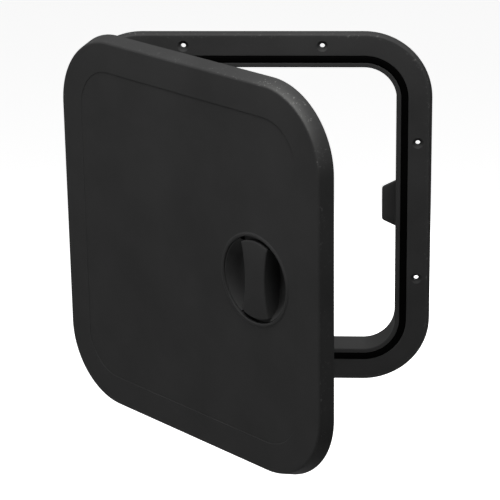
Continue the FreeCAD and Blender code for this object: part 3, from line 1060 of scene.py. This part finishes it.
@dataclass
class Lid:
    """Hollow lid: one closed grid from the latch hole over the face, round the rim and back inside."""

    rim_back: float = -2.2
    edge_inset: float = 5.4
    edge_round: float = 2.6
    skin: float = 3.0
    panel_offset: float = 35.0
    panel_sink: float = 0.6
    rib_offset: float = 35.35
    rib_width: float = 3.0
    rib_back: float = -7.9
    bead_width: float = 4.0
    bead_proud: float = 0.8
    collar_wall: float = 2.0
    ledge_front: float = -3.7
    ledge_back: float = -1.7
    ledge_reach: float = 5.5
    face_support: float = 5.0
    panel_margin: float = 4.0
    panel_step: float = 0.15
    wear_back: float = -8.0
    wear_floor: float = 0.1
    # Centre and width of the corner's bell curve, as shares of the corner's quarter arc. Scuffs and the
    # painted highlight peak there.
    corner_highlight_place: float = 0.62
    corner_highlight_width: float = 0.45
    sharp_angle: float = 30.0

    def outer_section(self) -> np.ndarray:
        """From the sunk panel's edge out over the face, round the rim and back in to the inside panel.

        Returns:
            Array of (offset inwards from the lid's outer line, y).
        """
        front, inside = SIZES.lid_front, SIZES.lid_front + self.skin
        slope = self.edge_inset / (self.rim_back - front)
        rib_end = self.rib_offset + self.rib_width
        return rounded_section([
            (self.panel_offset + self.panel_margin, front + self.panel_sink, 0.0),
            (self.panel_offset + self.panel_step, front + self.panel_sink, 0.15),
            (self.panel_offset - self.panel_step, front, 0.25),
            (self.edge_inset + self.face_support, front, 0.0),
            (self.edge_inset, front, self.edge_round),
            (0.0, self.rim_back, 0.5),
            (self.skin, self.rim_back, 0.5),
            (self.edge_inset + self.skin - slope * self.skin, inside, 1.5),
            (self.rib_offset, inside, 0.8),
            (self.rib_offset, self.rib_back, 0.6),
            (rib_end, self.rib_back, 0.6),
            (rib_end, inside, 0.8),
            (rib_end + self.panel_margin, inside, 0.0),
        ], 6, False)

    def seat_section(self) -> np.ndarray:
        """From the inside panel up the latch collar, over the ledge, through the hole and over the bead.

        Returns:
            Array of (radius about the latch's axis, y).
        """
        face = SIZES.lid_front + self.panel_sink
        hole = SIZES.dish_radius
        collar = hole + self.collar_wall
        return rounded_section([
            (collar + 3.0, SIZES.lid_front + self.skin, 0.0),
            (collar, SIZES.lid_front + self.skin, 0.8),
            (collar, self.ledge_back, 0.5),
            (hole - self.ledge_reach, self.ledge_back, 0.4),
            (hole - self.ledge_reach, self.ledge_front, 0.3),
            (hole, self.ledge_front, 0.3),
            (hole, face - self.bead_proud, 1.8),
            (hole + self.bead_width * 0.6, face - self.bead_proud, 1.2),
            (hole + self.bead_width, face, 1.2),
            (hole + self.bead_width + 1.5, face, 0.0),
        ], 6, False)

    def stations(self, panel: float) -> tuple[np.ndarray, np.ndarray]:
        """Places round the outline and the angles at which the latch's centre sees them.

        The outline is star-shaped about the latch's centre, so the angle rises all the way round. Even
        angles keep the latch hole round, and even distances keep the lid's corners round.

        Args:
            panel: Offset of the line whose points are looked at.

        Returns:
            Distances along the lid's path and the angles, both in rising order.
        """
        dense = np.linspace(0, LID_PATH.length(), 20001)
        spots = LID_PATH.carry(np.array([(panel, 0.0)]), dense)[:, 0]
        angle = np.unwrap(np.arctan2(spots[:, 2], spots[:, 0] - SIZES.latch_x))
        even = np.interp(np.arange(240) * 2 * math.pi / 240, angle, dense)
        along = np.unique(np.concatenate([even, LID_PATH.spread(24, 6)]))
        apart = np.concatenate([[True], np.diff(along) > 0.3])
        along = along[apart]
        return along, np.interp(along, dense, angle)

    def build(self, finishes: Finishes, hinges: Hinges) -> None:
        """Make the lid's closed grid, cut the hinge notches and dress it.

        Wear lies on the bevel and peaks at the upper free corner: a floor value plus a bell curve
        of the distance along the outline. The peak carries scuffs and a painted highlight, where the
        pale wash lightens the corner in place of the top lamp's shine.

        Args:
            finishes: The hatch's materials.
            hinges: The hinges whose lugs the rim clears.
        """
        outer = self.outer_section()
        along, angles = self.stations(self.panel_offset + self.panel_margin)
        carried = LID_PATH.carry(outer, along)
        seat = spun(self.seat_section(), angles, SIZES.latch_x, 0.0)
        share = np.array([1, 2]) / 3
        back_flat = carried[:, -1:] + (seat[:, :1] - carried[:, -1:]) * share[None, :, None]
        front_flat = seat[:, -1:] + (carried[:, :1] - seat[:, -1:]) * share[None, :, None]
        grid = np.concatenate([carried, back_flat, seat, front_flat], 1)
        bevel = np.clip(self.edge_inset + 1.0 - outer[:, 0], 0.0, 1.0) * (outer[:, 1] < self.wear_back)
        across = np.concatenate([bevel, np.zeros(grid.shape[1] - len(bevel))])
        quarter = math.pi / 2 * LID_PATH.radius
        # Bell curve at the upper free corner: scuffs plus a painted highlight standing in for the top
        # lamp's shine.
        from_corner_highlight = along - LID_PATH.half_z - self.corner_highlight_place * quarter
        corner_scuff_and_highlight = np.exp(-(from_corner_highlight / (self.corner_highlight_width * quarter)) ** 2)
        wear_and_highlight = (self.wear_floor + (1 - self.wear_floor) * corner_scuff_and_highlight)[:, None] * across[None]
        surface = Surface()
        surface.add(grid, True, True, wear_and_highlight)
        piece = surface.build("lid_moulding", True, self.sharp_angle)
        cut_away(piece, hinges.notch_cutter(), self.sharp_angle)
        finishes.dress(piece, Body.LID, Slot.LID, "lid", "lid_rim", "seal_rib")


@dataclass
class Latch:
    """Turning dish with finger bar, hub, retaining ring, pawl and its screw."""

    gap: float = 0.3
    rim_sink: float = 1.5
    rim_depth: float = 11.5
    rim_ease: float = 0.4
    lip_run: float = 0.5
    lip_round: float = 3.0
    foot_radius: float = 31.5
    foot_depth: float = 16.0
    foot_round: float = 12.0
    bowl_depth: float = 21.0
    floor_radius: float = 13.0
    floor: float = 2.5
    body_radius: float = 36.7
    ring_front: float = 15.5
    ring_thick: float = 2.0
    ring_groove: float = 1.0
    hub_radius: float = 10.0
    pawl_front: float = 24.4
    pawl_thick: float = 4.0
    pawl_reach: float = 42.0
    pawl_width: float = 18.0
    pawl_head: float = 12.0
    pawl_ease: float = 0.6
    bar_end_radius: float = 38.6
    bar_end: float = 36.0
    bar_waist: float = 27.0
    bar_round: float = 1.4
    end_gap_depth: float = 6.0
    end_gap_half_angle: float = 28.4
    cut_over: float = 2.0
    cup_sharp_angle: float = 35.0
    bar_sharp_angle: float = 50.0
    washer_radius: float = 8.0
    washer_thick: float = 1.2
    screw_head_radius: float = 4.6
    screw_flank: float = 1.4
    screw_dome: float = 1.2

    def bowl(self) -> np.ndarray:
        """Section of the bowl: rounded lip, steep wall, round foot and flat floor.

        Returns:
            Array of (radius about the latch's axis, depth behind the lid's front).
        """
        start = SIZES.dish_radius - self.gap - self.rim_ease
        return rounded_section([
            (start, self.rim_sink, 0.0),
            (start - self.lip_run, self.rim_sink, self.lip_round),
            (self.foot_radius, self.foot_depth, self.foot_round),
            (self.floor_radius, self.bowl_depth, self.foot_round),
            (0.0, self.bowl_depth, 0.0),
        ], 14, False)

    def gap_cutter(self) -> bpy.types.Object:
        """Solids that cut the cup's rim away past the bar's ends: a box section spun a short angle.

        Returns:
            One object with both solids, swung with the lid.
        """
        inner, outer = self.bar_end_radius, SIZES.dish_radius + self.cut_over
        front, back = -self.cut_over, self.end_gap_depth
        section = np.array([(inner, front), (outer, front), (outer, back), (inner, back)])
        section[:, 1] += SIZES.lid_front
        half = math.radians(self.end_gap_half_angle)
        surface = Surface()
        for middle in (-math.pi / 2, math.pi / 2):
            grid = spun(section, np.linspace(middle - half, middle + half, 40), SIZES.latch_x, 0.0)
            surface.add(grid, False, True)
            for end in (0, -1):
                surface.add(grid[end][[0, 1, 3, 2]].reshape(2, 2, 3), False, False)
        return surface.build("gap_cutter", True)

    def cup_section(self) -> np.ndarray:
        """Whole section of the cup: bowl inside, stepped outside, hub behind.

        Returns:
            Array of (radius about the latch's axis, y).
        """
        rim = SIZES.dish_radius - self.gap
        step = self.rim_sink + self.rim_depth
        groove_back = self.ring_front + self.ring_thick
        groove = self.body_radius - self.ring_groove
        floor = self.bowl_depth + self.floor
        hub_end = self.pawl_front - SIZES.lid_front
        outside = rounded_section([
            (0.0, hub_end, 0.0),
            (self.hub_radius, hub_end, 0.5),
            (self.hub_radius, floor, 1.5),
            (self.body_radius * 0.6, floor, 2.0),
            (self.body_radius, groove_back + self.ring_thick, 1.5),
            (self.body_radius, groove_back, 0.2),
            (groove, groove_back, 0.0),
            (groove, self.ring_front, 0.0),
            (self.body_radius, self.ring_front, 0.2),
            (self.body_radius, step, 0.3),
            (rim, step, 0.3),
            (rim, self.rim_sink, 0.4),
            (rim - self.rim_ease, self.rim_sink, 0.0),
        ], 4, False)
        section = np.concatenate([outside[:-1], self.bowl()])
        section[:, 1] += SIZES.lid_front
        return section

    def bar_outline(self) -> np.ndarray:
        """Hourglass plan of the bar: arc ends about the latch's axis, sides that curve in to the waist.

        Returns:
            Array of (x, z) points.
        """
        half_end, half_waist = self.bar_end / 2, self.bar_waist / 2
        end_z = math.sqrt(self.bar_end_radius ** 2 - half_end ** 2)
        side_radius = (end_z ** 2 + (half_end - half_waist) ** 2) / (2 * (half_end - half_waist))
        tilt = math.asin(end_z / side_radius)
        turn = np.linspace(-tilt, tilt, 24)
        right = np.stack([half_waist + side_radius * (1 - np.cos(turn)), side_radius * np.sin(turn)], -1)
        reach = math.atan2(end_z, half_end)
        sweep = np.linspace(reach, math.pi - reach, 20)[1:-1]
        top = self.bar_end_radius * np.stack([np.cos(sweep), np.sin(sweep)], -1)
        half = np.concatenate([right, top])
        return np.concatenate([half, -half]) + np.array([SIZES.latch_x, 0.0])

    def build_cup(self, finishes: Finishes) -> None:
        """Spin the cup's section about the latch's axis and open the gaps at the bar's ends.

        Args:
            finishes: The hatch's materials.
        """
        surface = Surface()
        surface.add(spun(self.cup_section(), round_angles(120), SIZES.latch_x, 0.0), True, False)
        piece = surface.build("latch_cup", True, self.cup_sharp_angle)
        cut_away(piece, self.gap_cutter(), self.cup_sharp_angle)
        finishes.dress(piece, Body.LATCH, Slot.LATCH, "knob")

    def build_bar(self, finishes: Finishes) -> None:
        """Raise the bar from inside the bowl's floor to the lid's face, with eased edges.

        Args:
            finishes: The hatch's materials.
        """
        front = SIZES.lid_front
        grid = pillow_prism(self.bar_outline(), -front - self.bowl_depth - 1, -front, self.bar_round, 5)
        grid = np.stack([grid[..., 0], -grid[..., 2], grid[..., 1]], -1)
        surface = Surface()
        surface.add(grid, True, False)
        finishes.dress(surface.build("finger_bar", True, self.bar_sharp_angle), Body.LATCH, Slot.LATCH)

    def build_pawl(self, finishes: Finishes) -> None:
        """Make the pawl plate: a round head, straight flanks and a round tip, with eased edges.

        Args:
            finishes: The hatch's materials.
        """
        half = self.pawl_width / 2
        join = math.asin(half / self.pawl_head)
        head = np.linspace(-math.pi / 2 + join, 1.5 * math.pi - join, 40)
        tip = np.linspace(math.pi, 2 * math.pi, 24)
        round_head = self.pawl_head * np.stack([np.cos(head), np.sin(head)], -1)
        round_tip = half * np.stack([np.cos(tip), np.sin(tip)], -1)
        round_tip -= np.array([0.0, self.pawl_reach - half])
        outline = np.concatenate([round_head, round_tip]) + np.array([SIZES.latch_x, 0.0])
        back = self.pawl_front + self.pawl_thick
        grid = pillow_prism(outline, self.pawl_front, back, self.pawl_ease)[..., [0, 2, 1]]
        surface = Surface()
        surface.add(grid, True, False)
        finishes.dress(surface.build("pawl_plate", True), Body.LATCH, Slot.PAWL, "pawl")

    def build_screw(self, finishes: Finishes) -> None:
        """Spin the washer and domed screw head that hold the pawl about the latch's axis.

        Args:
            finishes: The hatch's materials.
        """
        back = self.pawl_front + self.pawl_thick
        bedded = back - 0.2
        washer_top = back + self.washer_thick
        flank_top = washer_top + self.screw_flank
        crown = flank_top + self.screw_dome
        section = rounded_section([
            (0.0, bedded, 0.0),
            (self.washer_radius, bedded, 0.0),
            (self.washer_radius, washer_top, 0.3),
            (self.screw_head_radius, washer_top, 0.1),
            (self.screw_head_radius, flank_top, 1.2),
            (2.0, crown, 0.8),
            (0.0, crown + 0.1, 0.0),
        ], 4, False)
        surface = Surface()
        surface.add(spun(section, round_angles(48), SIZES.latch_x, 0.0), True, False)
        finishes.dress(surface.build("pawl_screw", True), Body.LATCH, Slot.PIN)

    def build(self, finishes: Finishes) -> None:
        """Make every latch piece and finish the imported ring.

        Args:
            finishes: The hatch's materials.
        """
        self.build_cup(finishes)
        self.build_bar(finishes)
        self.build_pawl(finishes)
        self.build_screw(finishes)
        finishes.repaint("latch_ring", Slot.RING)


@dataclass
class Studio:
    """Camera at the photograph's angle, white surround, soft lights and a pale floor."""

    place: tuple[float, float, float] = (120.8, -2112.1, 711.0)
    azimuth: float = 3.434
    pitch: float = 19.662
    roll: float = -0.825
    focal_px: float = 2172.1
    frame_px: float = 500.0
    sensor: float = 36.0
    floor_z: float = -0.62
    ambient: float = 0.05
    floor_half_span: float = 30.0
    floor_grey: float = 0.8
    floor_glow: float = 0.88
    far_clip: float = 50.0
    lit_place: tuple[float, float, float] = (0.0, -0.1, 0.0)

    def camera(self) -> None:
        """Place the camera, turned and pitched to look down on the hatch and rolled a little."""
        turn, rise = math.radians(self.azimuth), math.radians(self.pitch)
        back = Vector((math.sin(turn) * math.cos(rise), -math.cos(turn) * math.cos(rise), math.sin(rise)))
        right = (-back).cross(Vector((0, 0, 1))).normalized()
        up = right.cross(-back)
        lean = math.radians(self.roll)
        level, upright = right, up
        right = level * math.cos(lean) + upright * math.sin(lean)
        up = upright * math.cos(lean) - level * math.sin(lean)
        data = bpy.data.cameras.new("camera")
        data.sensor_width = self.sensor
        data.lens = self.focal_px / self.frame_px * self.sensor
        data.clip_end = self.far_clip
        camera = bpy.data.objects.new("camera", data)
        turned = Matrix((right, up, back)).transposed().to_4x4()
        turned.translation = Vector(self.place) * MM
        camera.matrix_world = turned
        bpy.context.scene.collection.objects.link(camera)
        bpy.context.scene.camera = camera

    def seen_factor(self, tree: bpy.types.NodeTree) -> bpy.types.NodeSocket:
        """One for camera, glossy and transmission rays, nought for the light that falls on things.

        Args:
            tree: The tree to add to.

        Returns:
            The factor's socket.
        """
        rays = tree.nodes.new("ShaderNodeLightPath").outputs
        seen = ShaderGroups.math(tree, "MAXIMUM", rays["Is Camera Ray"], rays["Is Glossy Ray"])
        return ShaderGroups.math(tree, "MAXIMUM", seen, rays["Is Transmission Ray"])

    def world(self) -> None:
        """White where the camera looks past the object, and a plain soft grey light elsewhere."""
        world = bpy.data.worlds.new("surround")
        world.use_nodes = True
        bpy.context.scene.world = world
        tree = world.node_tree
        light = tree.nodes["Background"]
        light.inputs["Color"].default_value = (1, 1, 1, 1)
        light.inputs["Strength"].default_value = self.ambient
        seen = tree.nodes.new("ShaderNodeBackground")
        seen.inputs["Color"].default_value = (1, 1, 1, 1)
        seen.inputs["Strength"].default_value = 1.0
        mix = tree.nodes.new("ShaderNodeMixShader")
        tree.links.new(self.seen_factor(tree), mix.inputs["Fac"])
        tree.links.new(light.outputs["Background"], mix.inputs[1])
        tree.links.new(seen.outputs["Background"], mix.inputs[2])
        tree.links.new(mix.outputs["Shader"], tree.nodes["World Output"].inputs["Surface"])

    def lamp(self, name: str, place: tuple[float, float, float], size: float, power: float) -> None:
        """Hang a square soft lamp that faces the hatch.

        Args:
            name: The lamp's name.
            place: Where it hangs, in metres.
            size: Its side, in metres.
            power: Its power in watts.
        """
        data = bpy.data.lights.new(name, "AREA")
        data.size = size
        data.energy = power
        lamp = bpy.data.objects.new(name, data)
        lamp.location = place
        towards = Vector(self.lit_place) - Vector(place)
        lamp.rotation_euler = towards.to_track_quat("-Z", "Y").to_euler()
        bpy.context.scene.collection.objects.link(lamp)

    def floor(self) -> None:
        """Pale floor well below the hatch, white to the camera but for the hatch's own soft shadow."""
        mesh = bpy.data.meshes.new("floor")
        corners = np.array([(-1, -1), (1, -1), (1, 1), (-1, 1)]) * self.floor_half_span
        mesh.from_pydata([(x, y, self.floor_z) for x, y in corners.tolist()], [], [(0, 1, 2, 3)])
        floor = bpy.data.objects.new("floor", mesh)
        bpy.context.scene.collection.objects.link(floor)
        material = bpy.data.materials.new("floor_white")
        material.use_nodes = True
        tree = material.node_tree
        tree.nodes.remove(tree.nodes["Principled BSDF"])
        diffuse = tree.nodes.new("ShaderNodeBsdfDiffuse")
        diffuse.inputs["Color"].default_value = (self.floor_grey, self.floor_grey, self.floor_grey, 1)
        glow = tree.nodes.new("ShaderNodeEmission")
        glow.inputs["Strength"].default_value = self.floor_glow
        total = tree.nodes.new("ShaderNodeAddShader")
        mix = tree.nodes.new("ShaderNodeMixShader")
        tree.links.new(diffuse.outputs["BSDF"], total.inputs[0])
        tree.links.new(glow.outputs["Emission"], total.inputs[1])
        tree.links.new(self.seen_factor(tree), mix.inputs["Fac"])
        tree.links.new(diffuse.outputs["BSDF"], mix.inputs[1])
        tree.links.new(total.outputs["Shader"], mix.inputs[2])
        tree.links.new(mix.outputs["Shader"], tree.nodes["Material Output"].inputs["Surface"])
        mesh.materials.append(material)

    def build(self) -> None:
        """Set the view and light everything."""
        bpy.context.scene.view_settings.view_transform = "Standard"
        self.camera()
        self.world()
        self.lamp("top_lamp", (0.02, -0.42, 0.97), 0.7, 19.0)
        self.lamp("left_lamp", (-2.0, -0.95, 0.05), 1.2, 12.5)
        self.lamp("back_lamp", (0.5, 1.8, -0.02), 0.3, 15.0)
        self.floor()


def main() -> None:
    """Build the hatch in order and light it."""
    logging.basicConfig(level=logging.INFO, format="%(name)s %(message)s")
    finishes = Finishes()
    hinges = Hinges()
    shell = HatchFrame()
    shell.build_body(finishes)
    shell.build_tab(finishes)
    SealRing().build(finishes)
    Lid().build(finishes, hinges)
    hinges.build(finishes)
    Latch().build(finishes)
    Studio().build()
    bpy.context.view_layer.update()


if __name__ == "__main__":
    main()
